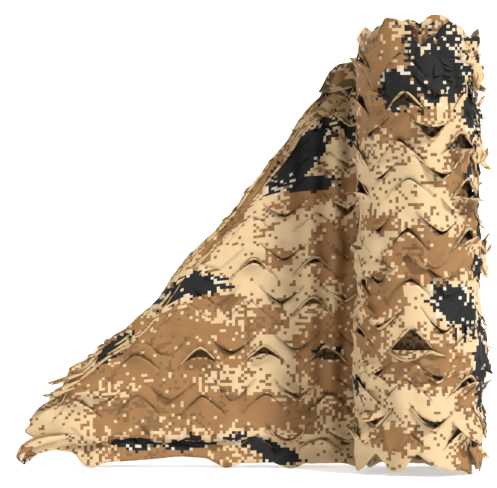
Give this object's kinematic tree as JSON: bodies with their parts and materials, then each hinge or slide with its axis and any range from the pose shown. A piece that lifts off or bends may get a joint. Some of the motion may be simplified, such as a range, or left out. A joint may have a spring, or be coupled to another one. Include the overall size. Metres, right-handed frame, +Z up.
{
  "type": "camouflage netting",
  "caption": "Leaf-cut camouflage netting, folded double and wound into a roll that stands on its end, with its loose end draped beside it in a low tent.",
  "frame": {"origin": "on the floor, under the middle of the bounding box", "axes": "+Z up, the roll at +X, the loose end running away to -X, and the front that the picture shows facing -Y"},
  "size_m": [0.7973, 0.256, 0.7384],
  "materials": {
    "rolled_cloth": "matt printed polyester, sand and brown squares with near-black patches",
    "draped_cloth": "matt printed polyester, sand and brown squares with near-black patches"
  },
  "bodies": {
    "root": {"wound_roll": "rolled_cloth", "loose_sheet": "draped_cloth"}
  },
  "joints": []
}
